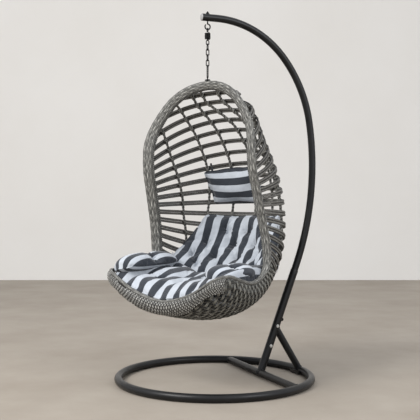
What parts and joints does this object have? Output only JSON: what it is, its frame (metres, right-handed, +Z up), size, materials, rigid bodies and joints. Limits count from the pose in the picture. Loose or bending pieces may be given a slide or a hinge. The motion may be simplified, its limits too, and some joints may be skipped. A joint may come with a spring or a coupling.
{
  "type": "hanging egg chair",
  "caption": "Woven egg-shaped basket seat with striped cushions, hung by a spring and chain from a curved steel pole on a round floor ring.",
  "frame": {"origin": "on the floor, at the centre of the whole object's bounding box", "axes": "+Z up; the stand lies in the YZ plane with its pole at +Y; the basket hangs turned 30 degrees about +Z from facing -Y"},
  "size_m": [1.0486, 1.1519, 1.9402],
  "materials": {
    "black_steel": "satin black powder coat",
    "zinc_plate": "zinc plated",
    "grey_plug": "matt",
    "dark_wicker": "half-round synthetic wicker strand, dark grey brown",
    "grey_wicker": "mixed light and dark grey synthetic wicker",
    "striped_fabric": "woven polyester, slate and pale stripes",
    "webbing": "woven tape"
  },
  "bodies": {
    "stand": {"base_ring": "black_steel", "cross_bar": "black_steel", "lower_post": "black_steel", "brace": "black_steel", "brace_foot": "black_steel", "pole": "black_steel", "hook": "black_steel", "hook_nut": "black_steel", "post_nut": "black_steel", "post_bolt_upper": "zinc_plate", "post_bolt_lower": "zinc_plate", "pole_end_plug": "grey_plug"},
    "spring": {"spring_top_loop": "black_steel", "spring_coil": "black_steel"},
    "spring_end": {"spring_bottom_loop": "black_steel", "chain_link_1": "black_steel"},
    "chain": {"chain_link_2": "black_steel", "chain_link_3": "black_steel", "chain_link_4": "black_steel", "hanger_loop": "black_steel", "hanger_stud": "black_steel"},
    "basket": {"hanger_plate": "black_steel", "rim": "grey_wicker", "rib_1": "dark_wicker", "rib_2": "dark_wicker", "rib_3": "dark_wicker", "rib_4": "dark_wicker", "rib_5": "dark_wicker", "rib_6": "dark_wicker", "rib_7": "dark_wicker", "woven_row_01": "dark_wicker", "woven_row_02": "dark_wicker", "woven_row_03": "dark_wicker", "woven_row_04": "dark_wicker", "woven_row_05": "dark_wicker", "woven_row_06": "dark_wicker", "woven_row_07": "dark_wicker", "woven_row_08": "dark_wicker", "woven_row_09": "dark_wicker", "woven_row_10": "dark_wicker", "woven_row_11": "dark_wicker", "woven_row_12": "dark_wicker", "woven_row_13": "dark_wicker", "woven_row_14": "dark_wicker", "woven_row_15": "dark_wicker", "woven_row_16": "dark_wicker", "woven_row_17": "dark_wicker", "woven_row_18": "dark_wicker", "woven_base": "dark_wicker", "front_apron": "grey_wicker", "seat_cushion": "striped_fabric", "back_cushion": "striped_fabric", "arm_cushion_left": "striped_fabric", "arm_cushion_right": "striped_fabric", "headrest": "striped_fabric", "headrest_strap_left": "webbing", "headrest_strap_right": "webbing", "cushion_tie_left": "webbing", "cushion_tie_right": "webbing"}
  },
  "joints": [
    {"name": "swing_to_pole", "type": "hinge", "parent": "stand", "child": "spring", "pos_m": [0, -0.066, 1.852], "axis": [1, 0, 0], "range_deg": [-10, 2]},
    {"name": "spring_stretch", "type": "slide", "parent": "spring", "child": "spring_end", "axis": [0, 0, -1], "range_m": [0, 0.03], "stiffness_N_per_m": 26000, "springref_m": -0.012, "deforming": ["spring_coil"]},
    {"name": "swing_sideways", "type": "hinge", "parent": "spring_end", "child": "chain", "pos_m": [0, -0.066, 1.742], "axis": [0, 1, 0], "range_deg": [-8, 8]},
    {"name": "basket_swivel", "type": "hinge", "parent": "chain", "child": "basket", "pos_m": [0, -0.066, 1.58], "axis": [0, 0, 1], "range_deg": [-110, 50]}
  ]
}
